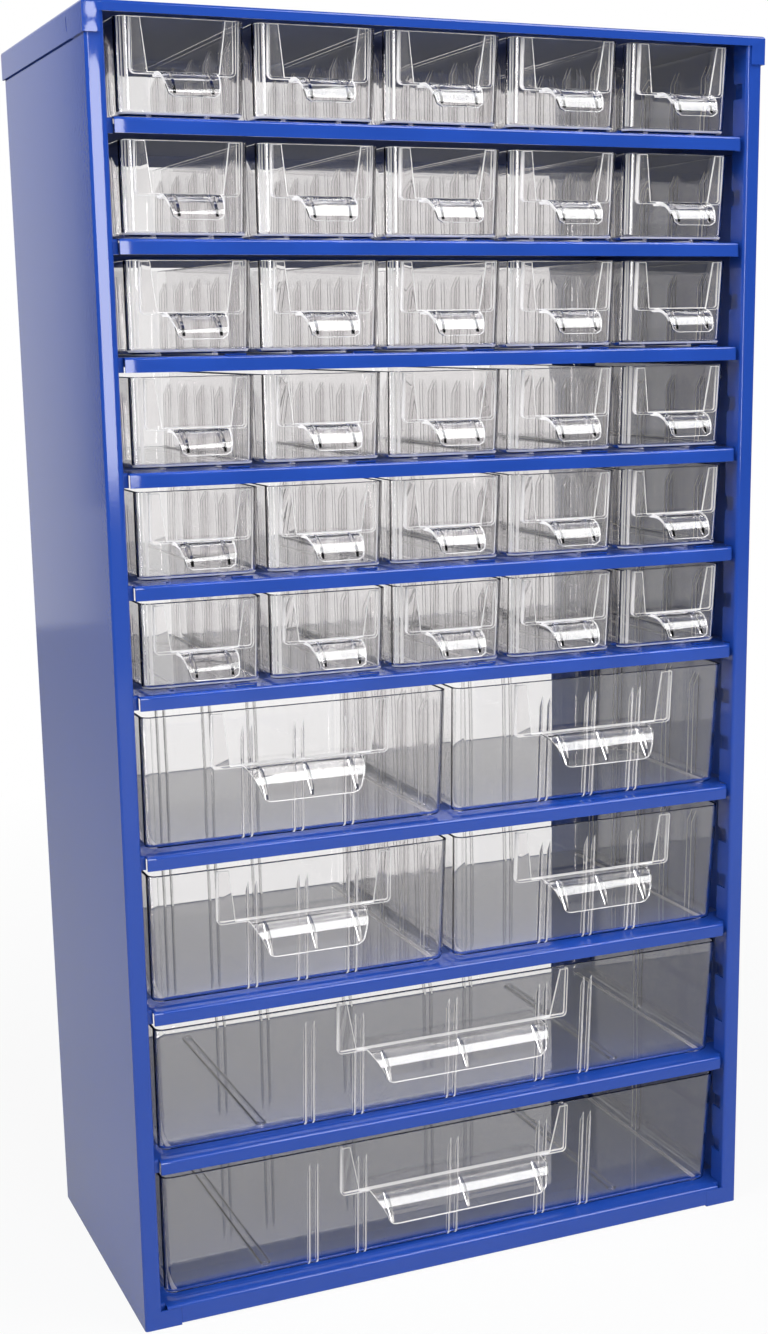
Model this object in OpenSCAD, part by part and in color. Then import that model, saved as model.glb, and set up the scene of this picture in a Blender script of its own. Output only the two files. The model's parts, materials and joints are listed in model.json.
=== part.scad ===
// Small parts drawer cabinet: a folded sheet steel housing with clear moulded drawers.
// Millimetres. X runs to the right, Y to the back and Z up from the surface it stands on.
// The origin is the centre of the footprint, with the drawer pulls counted in its depth.

/* [Housing] */
// Width over the cover
cabinet_w = 306; // [290:1:340]
// Depth of the steel housing, without the drawer pulls
cabinet_d = 150; // [140:1:190]
// Thickness of the painted sheet
sheet_t = 0.8; // [0.6:0.1:1]
// Outer radius of the folded edges
bend_r = 1.3; // [1.1:0.1:1.6]
// Clearance between sheet pieces that are welded or hooked together
fit_gap = 0.1; // [0.05:0.05:0.2]

/* [Cover] */
// Height of the cover's front lip
cover_lip_h = 4.2; // [3.5:0.1:6]
// Height of the cover's side flanges and of the corner tabs
cover_side_h = 12; // [11:0.5:16]
// Height of the cover's rear flange
cover_rear_h = 8.2; // [6:0.1:10]
// Width of the corner tabs on the front of the posts
cover_tab_w = 6.8; // [5:0.1:7.5]
// Distance of the relief slit in a side flange from the front edge
slit_setback = 25; // [15:1:40]
// Height of that slit
slit_h = 5.2; // [3:0.1:6]
// Width of that slit
slit_w = 0.8; // [0.5:0.1:1.5]

/* [Side panels] */
// Width of the post, which is the front flange of a side panel
post_w = 7.7; // [7:0.1:9]
// Depth of the notched return behind the post
return_d = 10.5; // [9:0.1:14]
// Depth of a shelf notch in that return
notch_d = 7; // [5:0.1:7.5]
// Clearance above and below a shelf in its notch
notch_gap = 0.3; // [0.2:0.1:0.5]
// Width of the rear flange of a side panel
rear_flange_w = 27; // [18:1:34]
// Width of the foot tab and of the bottom flange
foot_w = 16.6; // [14:0.1:20]

/* [Floor and shelves] */
// Height of the floor's top face
floor_z = 9.7; // [8.5:0.1:14]
// Height unit of the drawer rows
unit_h = 22.8; // [22:0.1:26]
// Height of the lips that hang from a shelf
shelf_lip_h = 6; // [5:0.1:7]
// Gap between the end of a shelf's front lip and the post
lip_end_gap = 2.6; // [1:0.1:4]
// Width of a lanced tab in a shelf
lance_w = 9; // [6:0.5:12]
// Height of a lanced tab above the shelf
lance_h = 0.7; // [0.4:0.1:0.8]
// Length of a lanced tab from front to back
lance_d = 4; // [3:0.5:6]
// Distance of the lanced tabs from the front of the shelf
lance_setback = 7; // [5:0.5:10]
// Distance of a lanced tab to the right of its drawer's centre
lance_offset = 19; // [10:0.5:19.5]

/* [Rows] */
// Number of rows with one large drawer
large_rows = 2; // [1:1:2]
// Number of rows with medium drawers
medium_rows = 2; // [1:1:2]
// Number of rows with small drawers
small_rows = 6; // [1:1:6]
// Medium drawers in a row
medium_per_row = 2; // [2:1:3]
// Small drawers in a row
small_per_row = 5; // [4:1:6]
// Height units of a large or medium row
deep_units = 3; // [3:1:4]
// Height units of a small row
small_units = 2; // [2:1:3]

/* [Drawer bodies] */
// Gap between the end drawers and the posts in a row of medium or large drawers
deep_side_gap = 3.4; // [2:0.1:4]
// Gap between the end drawers and the posts in a row of small drawers
small_side_gap = 5.4; // [4:0.1:6.5]
// Gap between neighbouring drawers
drawer_gap = 3.5; // [2:0.1:5]
// Space between the rim of a medium or large drawer and the next shelf
deep_head_gap = 9.5; // [8.5:0.1:11]
// Space between the rim of a small drawer and the next shelf
small_head_gap = 7.8; // [7.2:0.1:9]
// Space between a top row rim and the cover's lip
cover_clear = 0.4; // [0.3:0.1:2]
// Gap between a drawer's skids and the shelf
run_gap = 0.3; // [0.2:0.1:0.5]
// Height of the skids under a drawer
skid_h = 0.7; // [0.7:0.1:1.2]
// Width of a skid
skid_w = 2; // [1.5:0.1:3]
// Distance of a skid's centre from the side of a medium or large drawer
skid_inset = 5; // [4:0.5:8]
// Clearance between a small drawer's skids and the lanced tab that passes beside them
skid_clear = 1.5; // [1:0.1:3]
// Space between a drawer's rear wall and the rear flange
rear_gap = 3.5; // [1:0.1:6]
// Thickness of the drawer walls
wall_t = 1.3; // [1:0.1:1.6]
// Thickness of the drawer floor
base_t = 1.3; // [1:0.1:2]
// Outer radius of the upright corners
corner_r = 4.5; // [3:0.1:6]
// Outer radius along the bottom edges
edge_r = 2.6; // [2:0.1:3.5]
// Angle that the front leans back towards its foot
face_lean = 4; // [1:0.5:6]
// Draft of the side and rear walls
draft = 1; // [0.5:0.1:2]
// Distance of the front, at the label ledge, behind the cover's front
face_setback = 6; // [5:0.1:9]

/* [Label holders] */
// Depth of a label holder in front of the drawer
holder_d = 2.4; // [2:0.1:3.5]
// Thickness of its wings, ledge and side ribs
holder_t = 1; // [0.8:0.1:1.2]
// Radius of its lower corners
holder_r = 2.2; // [1:0.1:4]
// Space between its top and the drawer's rim
holder_top_gap = 0.6; // [0.3:0.1:4]
// Width of a small drawer's label holder
small_holder_w = 43; // [36:0.5:44]
// Width of a medium drawer's label holder
medium_holder_w = 80.6; // [60:0.5:110]
// Width of a large drawer's label holder
large_holder_w = 115.5; // [100:0.5:180]
// Wing width at the top of a small label holder
small_wing_top = 4.4; // [2:0.1:5]
// Wing width at the foot of a small label holder
small_wing_foot = 7; // [5:0.1:9]
// Wing width at the top of a medium label holder
medium_wing_top = 5.5; // [2:0.1:6.5]
// Wing width at the foot of a medium label holder
medium_wing_foot = 8.3; // [6.5:0.1:12]
// Wing width at the top of a large label holder
large_wing_top = 4.3; // [2:0.1:6]
// Wing width at the foot of a large label holder
large_wing_foot = 9; // [6:0.1:12]
// Height of the small label ledge above the shelf
small_ledge_z = 17.5; // [15:0.5:20]
// Height of the medium label ledge above the shelf
medium_ledge_z = 35; // [28:0.5:40]
// Height of the large label ledge above the shelf
large_ledge_z = 35.2; // [28:0.1:40]

/* [Pulls] */
// Distance from the drawer's front to the tip of a pull
pull_reach = 16; // [14:0.1:22]
// Step from the label ledge down to the top of the pull
pull_step = 0.4; // [0.3:0.1:0.8]
// Radius of the pull's curve
pull_r = 11; // [8:0.1:12.5]
// Thickness of the pull
pull_t = 1.5; // [1.2:0.1:2]
// Height of a small pull
small_drop = 10.4; // [9:0.1:12]
// Height of a medium pull
medium_drop = 13.8; // [10.5:0.1:16]
// Height of a large pull
large_drop = 12.6; // [10.5:0.1:16]
// Width of a small pull
small_pull_w = 24.5; // [18:0.5:32]
// Width of a medium pull
medium_pull_w = 54; // [40:0.5:70]
// Width of a large pull
large_pull_w = 89; // [60:0.5:100]
// Narrowing of each end of a small pull towards its tip
small_taper = 1.7; // [0:0.1:3]
// Narrowing of each end of a medium or large pull towards its tip
deep_taper = 4.2; // [0:0.1:6]
// Radius of the tip corners of a small pull
small_tip_r = 2.5; // [1:0.1:4]
// Radius of the tip corners of a medium or large pull
deep_tip_r = 4.5; // [1:0.1:6]
// Thickness of the cheeks behind a pull
cheek_t = 1.2; // [1:0.1:2]
// Distance of the end cheeks from the ends of the pull
cheek_inset = 4.5; // [3:0.1:7]
// Height of the cheeks' lower ends above the tip of the pull
cheek_lift = 1; // [0.5:0.1:3]

/* [Divider ribs] */
// Distance between the two ribs that hold a divider in a medium or large drawer
deep_pair_pitch = 3.9; // [3:0.1:5]
// Distance between the two ribs that hold a divider in a small drawer
small_pair_pitch = 3.3; // [1.8:0.1:4]
// Thickness of a rib
rib_t = 0.9; // [0.8:0.1:1.4]
// Depth of a rib
rib_d = 2.4; // [1.5:0.1:3]
// Height of a rib's pointed end
rib_point = 6; // [3:0.5:10]
// Space between the rim and the ribs of a small drawer
small_rib_gap = 5; // [3:0.5:10]
// Space between the rim and the ribs of a medium or large drawer
deep_rib_gap = 7; // [4:0.5:12]
// Rib pairs along each side of a small drawer
small_side_pairs = 5; // [3:1:5]
// Distance between those pairs
small_side_step = 26.5; // [20:0.5:27]
// Rib pairs along each side of a medium drawer
medium_side_pairs = 5; // [3:1:5]
// Distance between those pairs
medium_side_step = 24.5; // [18:0.5:27]
// Distance between the rib pairs across a medium drawer
medium_rib_step = 23.4; // [18:0.1:30]
// Distance of the inner rib pairs from the centre of a large drawer
large_rib_inner = 46.3; // [30:0.1:52]
// Distance of the outer rib pairs from the centre of a large drawer
large_rib_outer = 70; // [60:0.5:80]
// Distance of the floor loops from the centre of a large drawer
loop_offset = 90.5; // [84:0.5:110]
// Width of a floor loop
loop_w = 5; // [4:0.1:7]
// Height of a floor loop
loop_h = 1.2; // [0.8:0.1:2]
// Distance of the floor loops from the front and rear walls
loop_end_gap = 9; // [4:0.5:15]

/* [Hidden] */
$fn = 48;
steel_colour = "#2447b3";
clear_colour = [0.86, 0.89, 0.91, 0.4];
overlap = 0.2;
// Length by which a cut runs past the face that it opens
cut = 1;
far = 400;
// The outlines that round a tub's upright corners stand this far outside its flat walls
corner_ease = 0.05;
all_units = deep_units * (large_rows + medium_rows) + small_units * small_rows;
cabinet_h = floor_z + all_units * unit_h - small_head_gap + cover_clear + cover_lip_h;
total_d = cabinet_d + pull_reach - face_setback;
front_y = pull_reach - face_setback - total_d / 2;
back_y = front_y + cabinet_d;
panel_x = cabinet_w / 2 - sheet_t - fit_gap;
panel_front = front_y + sheet_t + fit_gap;
panel_back = back_y - sheet_t - fit_gap;
post_in_x = panel_x - post_w;
return_back = panel_front + return_d;
shelf_x = panel_x - sheet_t - fit_gap;
shelf_back = panel_back - sheet_t - fit_gap;
wing_front = return_back - notch_d + notch_gap;
lip_x = post_in_x - lip_end_gap;
rail_x = panel_x - foot_w - fit_gap;
rail_bottom = sheet_t + fit_gap;
deep_row_w = 2 * (post_in_x - deep_side_gap);
small_row_w = 2 * (post_in_x - small_side_gap);
ledge_y = front_y + face_setback;
drawer_back = shelf_back - rear_gap - ledge_y;
base_z = run_gap + skid_h;
small_skid_x = lance_offset - lance_w / 2 - skid_clear - skid_w / 2;
small_rim = small_units * unit_h - small_head_gap;
deep_rim = deep_units * unit_h - deep_head_gap;
small_w = (small_row_w - (small_per_row - 1) * drawer_gap) / small_per_row;
medium_w = (deep_row_w - (medium_per_row - 1) * drawer_gap) / medium_per_row;
deep_rows = large_rows + medium_rows;
shelf_count = deep_rows + small_rows - 1;

// Height of the plate that carries a row, counted from 0 at the bottom
function row_z(row) = floor_z + unit_h * (deep_units * min(row, deep_rows)
    + small_units * max(row - deep_rows, 0));
function small_x(col) = (col - (small_per_row + 1) / 2) * (small_w + drawer_gap);
function medium_x(col) = (col - (medium_per_row + 1) / 2) * (medium_w + drawer_gap);
function small_name(row, col) = str("small_drawer_", row, "_", col);
function medium_name(row, col) = str("medium_drawer_", row, "_", col);
function large_name(row) = str("large_drawer_", row);
function shelf_name(level) = str("shelf_", level);

// A plate seen on edge, with both ends folded down and rounded at the fold
module fold_outline(a, b, drop, r) {
    translate([a, -drop]) square([b - a, drop - r]);
    translate([a + r, -r]) square([b - a - 2 * r, r]);
    for (x = [a + r, b - r]) translate([x, -r]) circle(r);
}

module along_x(x0, x1) {
    translate([x0, 0, 0]) rotate([90, 0, 90]) linear_extrude(x1 - x0) children();
}

module along_y(y0, y1) {
    translate([0, y1, 0]) rotate([90, 0, 0]) linear_extrude(y1 - y0) children();
}

// A tray of sheet, open below, with its front and rear folded down
module folded_tray(x0, x1, a, b, drop) {
    along_x(x0, x1) difference() {
        fold_outline(a, b, drop, bend_r);
        translate([0, -sheet_t]) fold_outline(a + sheet_t, b - sheet_t, drop + cut, bend_r - sheet_t);
    }
}

module cover_block(inset) {
    drop = cover_side_h + inset;
    side = cabinet_w / 2 - inset;
    translate([0, 0, -inset]) intersection() {
        along_x(-side, side)
            fold_outline(front_y + inset, back_y - inset, drop, bend_r - inset);
        along_y(front_y + inset, back_y - inset)
            fold_outline(-side, side, drop, bend_r - inset);
    }
}

// Top cover: a shallow lid that is pressed over the side panels
module top_cover() {
    tab_x = cabinet_w / 2 - cover_tab_w;
    color(steel_colour) translate([0, 0, cabinet_h]) difference() {
        cover_block(0);
        cover_block(sheet_t);
        translate([-tab_x, front_y - cut, -cover_side_h - cut])
            cube([2 * tab_x, sheet_t + 2 * cut, cover_side_h + cut - cover_lip_h]);
        translate([-panel_x, back_y - sheet_t - cut, -cover_side_h - cut])
            cube([2 * panel_x, sheet_t + 2 * cut, cover_side_h + cut - cover_rear_h]);
        translate([-cabinet_w, front_y + slit_setback, -cover_side_h / 2 - slit_h / 2])
            cube([2 * cabinet_w, slit_w, slit_h]);
    }
}

module panel_outline() {
    r_in = bend_r - sheet_t;
    difference() {
        translate([-panel_x, 0]) fold_ends(post_w, rear_flange_w, 0, bend_r);
        translate([-panel_x, 0]) fold_ends(post_w + cut, rear_flange_w + cut, sheet_t, r_in);
    }
    translate([-post_in_x, panel_front + bend_r]) mirror([1, 0])
        square([sheet_t, return_d - bend_r]);
    translate([-post_in_x - bend_r, panel_front + bend_r]) intersection() {
        difference() {
            circle(bend_r);
            circle(r_in);
        }
        translate([0, -bend_r]) square(bend_r);
    }
}

// The filled outline between the two flanges of a side panel, rounded at its outer corners
module fold_ends(front_w, rear_w, inset, r) {
    y0 = panel_front + inset;
    y1 = panel_back - inset;
    front_in = inset == 0 ? front_w - bend_r : front_w;
    mid_y = (y0 + y1) / 2;
    translate([inset, y0 + r]) square([front_in - inset, mid_y - y0 - r]);
    translate([inset + r, y0]) square([front_in - inset - r, r + overlap]);
    translate([inset, mid_y - overlap]) square([rear_w - inset, y1 - r - mid_y + overlap]);
    translate([inset + r, y1 - r - overlap]) square([rear_w - inset - r, r + overlap]);
    translate([inset + r, y0 + r]) circle(r);
    translate([inset + r, y1 - r]) circle(r);
}

// Side panel: one folded sheet with a post in front, a notched return behind it,
// a rear flange, a bottom flange to stand on and a foot tab beside the floor's rail
module side_panel() {
    notch_h = shelf_lip_h + 2 * notch_gap;
    color(steel_colour) difference() {
        union() {
            linear_extrude(cabinet_h - sheet_t - fit_gap) panel_outline();
            translate([-panel_x + overlap, panel_front + sheet_t - overlap, 0])
                cube([foot_w - overlap, panel_back - panel_front - 2 * sheet_t + 2 * overlap, sheet_t]);
            translate([-panel_x + bend_r, panel_front, 0])
                cube([foot_w - bend_r, sheet_t, floor_z - bend_r - fit_gap]);
        }
        for (unit = [0:all_units - 1])
            translate([-post_in_x - bend_r - sheet_t, return_back - notch_d,
                floor_z + unit * unit_h - shelf_lip_h - notch_gap])
                cube([2 * bend_r + sheet_t, notch_d + cut, notch_h]);
    }
}

module left_side_panel() { side_panel(); }
module right_side_panel() { mirror([1, 0, 0]) side_panel(); }

// A plate between the side panels: a wide front lip, and wings that hook into the notches
module hooked_plate(front_x, front_drop) {
    folded_tray(-front_x, front_x, panel_front, shelf_back, front_drop);
    for (side = [0, 1]) mirror([side, 0, 0]) {
        folded_tray(front_x - overlap, shelf_x, wing_front, shelf_back, shelf_lip_h);
        along_x(shelf_x - sheet_t, shelf_x)
            fold_outline(wing_front, shelf_back, shelf_lip_h, bend_r);
    }
}

// Bottom panel: the floor under the lowest drawer, whose rail stands on the bottom flanges
module bottom_panel() {
    rail_h = floor_z - rail_bottom;
    color(steel_colour) translate([0, 0, floor_z]) difference() {
        hooked_plate(lip_x, rail_h);
        for (side = [0, 1]) mirror([side, 0, 0]) translate([rail_x, panel_front - cut, -rail_h - cut])
            cube([foot_w, sheet_t + 2 * cut, rail_h + cut - bend_r]);
    }
}

// Shelf plate with its lips, and a lanced tab for each small drawer that it carries
module shelf(level) {
    cut_t = sheet_t + lance_h;
    color(steel_colour) translate([0, 0, row_z(level)]) {
        difference() {
            hooked_plate(lip_x, shelf_lip_h);
            if (level >= deep_rows) for (col = [1:small_per_row])
                translate([small_x(col) + lance_offset - lance_w / 2, panel_front + lance_setback, -cut_t])
                    cube([lance_w, lance_d - sheet_t, 2 * cut_t]);
        }
        if (level >= deep_rows) for (col = [1:small_per_row]) lance(small_x(col) + lance_offset);
    }
}

// Lanced tab: the cut strip of the plate, pushed up so that its open mouth faces forward
module lance(x) {
    y0 = panel_front + lance_setback;
    y1 = y0 + lance_d;
    along_x(x - lance_w / 2, x + lance_w / 2) polygon([
        [y0, lance_h], [y0, lance_h - sheet_t / 2],
        [y1 - sheet_t, -sheet_t], [y1, -sheet_t], [y1, 0]]);
}

// Distance of a rounded bottom corner's centre from a leaning wall's reference line
function corner_in(inset, r, lean, bottom, ref_z) =
    (inset + r - sin(lean) * (bottom + r - ref_z)) / cos(lean);

// Upright section of a tub: two leaning walls, a flat bottom and rounded bottom edges
module tub_outline(left, left_ref, left_lean, right, right_ref, inset, bottom, top, r) {
    lc = left + corner_in(inset, r, left_lean, bottom, left_ref);
    rc = right - corner_in(inset, r, draft, bottom, right_ref);
    polygon([
        [left + inset / cos(left_lean) - tan(left_lean) * (top - left_ref), top],
        [lc - r * cos(left_lean), bottom + r - r * sin(left_lean)],
        [lc, bottom], [rc, bottom],
        [rc + r * cos(draft), bottom + r - r * sin(draft)],
        [right - inset / cos(draft) + tan(draft) * (top - right_ref), top]]);
    translate([lc, bottom + r]) circle(r);
    translate([rc, bottom + r]) circle(r);
}

// Plan of a tub with two rounded corners on its near side
module corner_outline(half_w, near, length, r) {
    translate([-half_w, near + r]) square([2 * half_w, length]);
    translate([-half_w + r, near]) square([2 * half_w - 2 * r, r + overlap]);
    for (x = [-half_w + r, half_w - r]) translate([x, near + r]) circle(r);
}

// Solid tub in the drawer's own frame: Y = 0 is the front at the height of the label ledge
module tub(w, rim, ledge, inset, bottom, top) {
    half_w = w / 2;
    upright_r = corner_r - inset;
    low_r = edge_r - inset;
    intersection() {
        along_y(-far / 2, far)
            tub_outline(-half_w, rim, draft, half_w, rim, inset, bottom, top, low_r);
        along_x(-half_w - cut, half_w + cut)
            tub_outline(0, ledge, face_lean, drawer_back, rim, inset, bottom, top, low_r);
        translate([0, 0, ledge]) rotate([face_lean, 0, 0]) linear_extrude(far, center = true)
            corner_outline(half_w - inset + corner_ease, inset - corner_ease, far, upright_r);
        translate([0, drawer_back, rim]) rotate([draft, 0, 180]) linear_extrude(far, center = true)
            corner_outline(half_w - inset + corner_ease, inset - corner_ease, far, upright_r);
    }
}

// One divider rib on a wall whose outer face passes through the origin at height ref_z
module wall_rib(ref_z, lean, top) {
    low = (base_z + base_t / 2 - ref_z) / cos(lean);
    high = (top - ref_z) / cos(lean);
    translate([0, 0, ref_z]) rotate([lean, 0, 0]) along_x(-rib_t / 2, rib_t / 2) polygon([
        [wall_t - overlap, low], [wall_t + rib_d, low],
        [wall_t + rib_d, high - rib_point], [wall_t - overlap, high]]);
}

// Pairs of ribs on the front and rear walls, at the given places across the drawer
module end_ribs(places, pitch, rim, ledge, top) {
    for (x = places) for (s = [-pitch / 2, pitch / 2]) {
        translate([x + s, 0, 0]) wall_rib(ledge, face_lean, top);
        translate([x + s, drawer_back, 0]) rotate([0, 0, 180]) wall_rib(rim, draft, top);
    }
}

// Places along the drawer, spread evenly about its middle
function spread(count, step) =
    [for (i = [0:count - 1]) drawer_back / 2 + (i - (count - 1) / 2) * step];

// Pairs of ribs on both side walls, at the given places along the drawer
module side_ribs(places, pitch, w, rim, top) {
    for (y = places) for (s = [-pitch / 2, pitch / 2]) for (side = [-1, 1])
        translate([side * w / 2, y + s, 0]) rotate([0, 0, side * 90]) wall_rib(rim, draft, top);
}

// Label holder on the leaning front: two wings, side ribs and a ledge, open at the top
module label_holder(w, wing_top, wing_foot, ledge, rim) {
    h = (rim - holder_top_gap - ledge) / cos(face_lean);
    half_w = w / 2;
    translate([0, 0, ledge]) rotate([face_lean, 0, 0]) difference() {
        along_y(-holder_d, wall_t / 2) {
            translate([-half_w + holder_r, -holder_t]) square([w - 2 * holder_r, h + holder_t]);
            translate([-half_w, holder_r - holder_t]) square([w, h + holder_t - holder_r]);
            for (x = [holder_r - half_w, half_w - holder_r])
                translate([x, holder_r - holder_t]) circle(holder_r);
        }
        translate([-half_w + holder_t, holder_t - holder_d, 0])
            cube([w - 2 * holder_t, holder_d - holder_t + wall_t, h + cut]);
        along_y(-holder_d - cut, wall_t) polygon([
            [-half_w + wing_foot, 0], [half_w - wing_foot, 0],
            [half_w - wing_top, h], [half_w - wing_top, h + cut],
            [-half_w + wing_top, h + cut], [-half_w + wing_top, h]]);
    }
}

// Side section of a pull: flat from the front, then a quarter turn down to an upright lip
module pull_section(drop) {
    flat = pull_reach - pull_r;
    translate([-flat, -pull_r]) intersection() {
        difference() {
            circle(pull_r);
            circle(pull_r - pull_t);
        }
        translate([-pull_r, 0]) square(pull_r);
    }
    translate([-flat, -pull_t]) square([flat + wall_t / 2, pull_t]);
    if (drop > pull_r) translate([-pull_reach, -drop]) square([pull_t, drop - pull_r]);
}

// Pull: a curved hood below the label ledge, with thin cheeks behind it
module pull(w, taper, drop, tip_r, cheeks, ledge) {
    tip_w = w / 2 - taper;
    translate([0, 0, ledge - pull_step]) {
        intersection() {
            along_x(-w / 2 - cut, w / 2 + cut) pull_section(drop);
            along_y(-pull_reach - cut, wall_t) {
                polygon([[-w / 2, cut], [-w / 2, 0], [-tip_w, tip_r - drop], [-tip_w + tip_r, -drop],
                    [tip_w - tip_r, -drop], [tip_w, tip_r - drop], [w / 2, 0], [w / 2, cut]]);
                for (x = [tip_r - tip_w, tip_w - tip_r]) translate([x, tip_r - drop]) circle(tip_r);
            }
        }
        for (x = cheeks) along_x(x - cheek_t / 2, x + cheek_t / 2)
            translate([pull_r - pull_reach, -pull_r]) intersection() {
                circle(pull_r - pull_t / 2);
                polygon([[0, pull_r], [-pull_r, pull_r], [-pull_r, pull_r - drop + cheek_lift],
                    [pull_t - pull_r, pull_r - drop + cheek_lift], [0, pull_r - pull_t - overlap]]);
            }
    }
}

// Place of the skids under a medium or large drawer, from its centre
function deep_skid_x(w) = w / 2 - tan(draft) * (deep_rim - base_z) - skid_inset;

module skids(foot_x) {
    for (x = [-foot_x, foot_x])
        translate([x - skid_w / 2, edge_r + corner_r, run_gap])
            cube([skid_w, drawer_back - 2 * (edge_r + corner_r), skid_h + base_t / 2]);
}

// Thin walled drawer, open at the top, on its two skids
module drawer_tub(w, rim, ledge, skid_x) {
    difference() {
        tub(w, rim, ledge, 0, base_z, rim);
        tub(w, rim, ledge, wall_t, base_z + base_t, rim + cut);
    }
    skids(skid_x);
}

// Raised loop on the floor of a large drawer, which holds a long divider
module floor_loop(x) {
    y0 = wall_t + rib_d + loop_end_gap;
    y1 = drawer_back - wall_t - rib_d - loop_end_gap;
    translate([x, 0, base_z + base_t - overlap]) linear_extrude(loop_h + overlap) difference() {
        stadium(y0, y1, loop_w / 2);
        stadium(y0, y1, loop_w / 2 - rib_t);
    }
}

module stadium(y0, y1, r) {
    translate([-r, y0]) square([2 * r, y1 - y0]);
    for (y = [y0, y1]) translate([0, y]) circle(r);
}

// Small drawer: pairs of ribs along both sides
module small_drawer(row, col) {
    cheek = small_pull_w / 2 - cheek_inset;
    top = small_rim - small_rib_gap;
    places = spread(small_side_pairs, small_side_step);
    color(clear_colour) translate([small_x(col), ledge_y, row_z(deep_rows + row - 1)]) {
        drawer_tub(small_w, small_rim, small_ledge_z, small_skid_x);
        side_ribs(places, small_pair_pitch, small_w, small_rim, top);
        label_holder(small_holder_w, small_wing_top, small_wing_foot, small_ledge_z, small_rim);
        pull(small_pull_w, small_taper, small_drop, small_tip_r, [-cheek, cheek], small_ledge_z);
    }
}

// Medium drawer: three pairs of ribs in front and behind, and pairs along both sides
module medium_drawer(row, col) {
    cheek = medium_pull_w / 2 - cheek_inset - deep_taper / 2;
    top = deep_rim - deep_rib_gap;
    across = [-medium_rib_step, 0, medium_rib_step];
    along = spread(medium_side_pairs, medium_side_step);
    color(clear_colour) translate([medium_x(col), ledge_y, row_z(large_rows + row - 1)]) {
        drawer_tub(medium_w, deep_rim, medium_ledge_z, deep_skid_x(medium_w));
        end_ribs(across, deep_pair_pitch, deep_rim, medium_ledge_z, top);
        side_ribs(along, deep_pair_pitch, medium_w, deep_rim, top);
        label_holder(medium_holder_w, medium_wing_top, medium_wing_foot, medium_ledge_z, deep_rim);
        pull(medium_pull_w, deep_taper, medium_drop, deep_tip_r, [-cheek, 0, cheek], medium_ledge_z);
    }
}

// Large drawer: five pairs of ribs in front and behind, one on each side and two floor loops
module large_drawer(row) {
    cheek = large_pull_w / 2 - cheek_inset - deep_taper / 2;
    top = deep_rim - deep_rib_gap;
    inner = large_rib_inner;
    outer = large_rib_outer;
    color(clear_colour) translate([0, ledge_y, row_z(row - 1)]) {
        drawer_tub(deep_row_w, deep_rim, large_ledge_z, deep_skid_x(deep_row_w));
        end_ribs([-outer, -inner, 0, inner, outer], deep_pair_pitch, deep_rim, large_ledge_z, top);
        side_ribs([drawer_back / 2], deep_pair_pitch, deep_row_w, deep_rim, top);
        floor_loop(-loop_offset);
        floor_loop(loop_offset);
        label_holder(large_holder_w, large_wing_top, large_wing_foot, large_ledge_z, deep_rim);
        pull(large_pull_w, deep_taper, large_drop, deep_tip_r, [-cheek, 0, cheek], large_ledge_z);
    }
}

top_cover();
left_side_panel();
right_side_panel();
bottom_panel();
for (level = [1:shelf_count])
    shelf(level);
for (row = [1:large_rows])
    large_drawer(row);
for (row = [1:medium_rows]) for (col = [1:medium_per_row])
    medium_drawer(row, col);
for (row = [1:small_rows]) for (col = [1:small_per_row])
    small_drawer(row, col);
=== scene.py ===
# Small parts drawer cabinet: a folded steel housing with thirty-six clear moulded drawers.
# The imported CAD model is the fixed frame. Millimetres in the code are made metres in each mesh.

import json
import math

import bmesh
import bpy
from mathutils import Matrix, Vector


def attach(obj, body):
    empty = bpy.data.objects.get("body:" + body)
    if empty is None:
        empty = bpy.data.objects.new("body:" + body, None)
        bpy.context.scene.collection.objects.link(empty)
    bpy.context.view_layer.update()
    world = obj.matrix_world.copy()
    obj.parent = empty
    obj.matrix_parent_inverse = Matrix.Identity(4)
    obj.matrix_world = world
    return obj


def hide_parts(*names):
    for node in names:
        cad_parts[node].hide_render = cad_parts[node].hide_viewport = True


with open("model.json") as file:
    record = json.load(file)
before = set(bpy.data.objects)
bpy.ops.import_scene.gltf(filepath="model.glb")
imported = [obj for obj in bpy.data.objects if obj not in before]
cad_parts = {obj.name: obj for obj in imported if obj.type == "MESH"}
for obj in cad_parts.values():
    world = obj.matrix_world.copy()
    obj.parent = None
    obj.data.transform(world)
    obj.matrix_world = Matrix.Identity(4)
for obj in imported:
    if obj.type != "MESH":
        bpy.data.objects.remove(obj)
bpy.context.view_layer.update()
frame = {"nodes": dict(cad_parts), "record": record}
scene = bpy.context.scene
MM = 0.001

# ---- Camera ----
# A short telephoto left of the cabinet and above its middle, looking slightly down. Its place,
# lens and shift are those solved from the photograph, whose frame is 768 x 1334.
SENSOR_MM, LENS_MM = 36, 50.72
SHIFT_X, SHIFT_Y = -0.0225, 0.0502
CAMERA_AT, CAMERA_TURN = (-0.3391, -0.8088, 0.4280), (77.961, 0.777, -23.511)
lens = bpy.data.cameras.new("photo_lens")
lens.sensor_fit = "VERTICAL"
lens.sensor_height = SENSOR_MM
lens.lens = LENS_MM
lens.shift_x = SHIFT_X
lens.shift_y = SHIFT_Y
camera = bpy.data.objects.new("camera", lens)
camera.location = CAMERA_AT
camera.rotation_euler = [math.radians(a) for a in CAMERA_TURN]
scene.collection.objects.link(camera)
scene.camera = camera
scene.view_settings.view_transform = "Standard"


# ---- Studio ----
# White paper below and a white card behind, with soft boxes in front, at the left and overhead on
# the right. Paper and card show white to the camera and through the drawers, and fainter in gloss.
def linear(hex_colour):
    """An sRGB hex colour as the linear colour that a shader takes."""
    channels = [int(hex_colour[i : i + 2], 16) / 255 for i in (1, 3, 5)]
    return [c / 12.92 if c <= 0.04045 else ((c + 0.055) / 1.055) ** 2.4 for c in channels] + [1]


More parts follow.
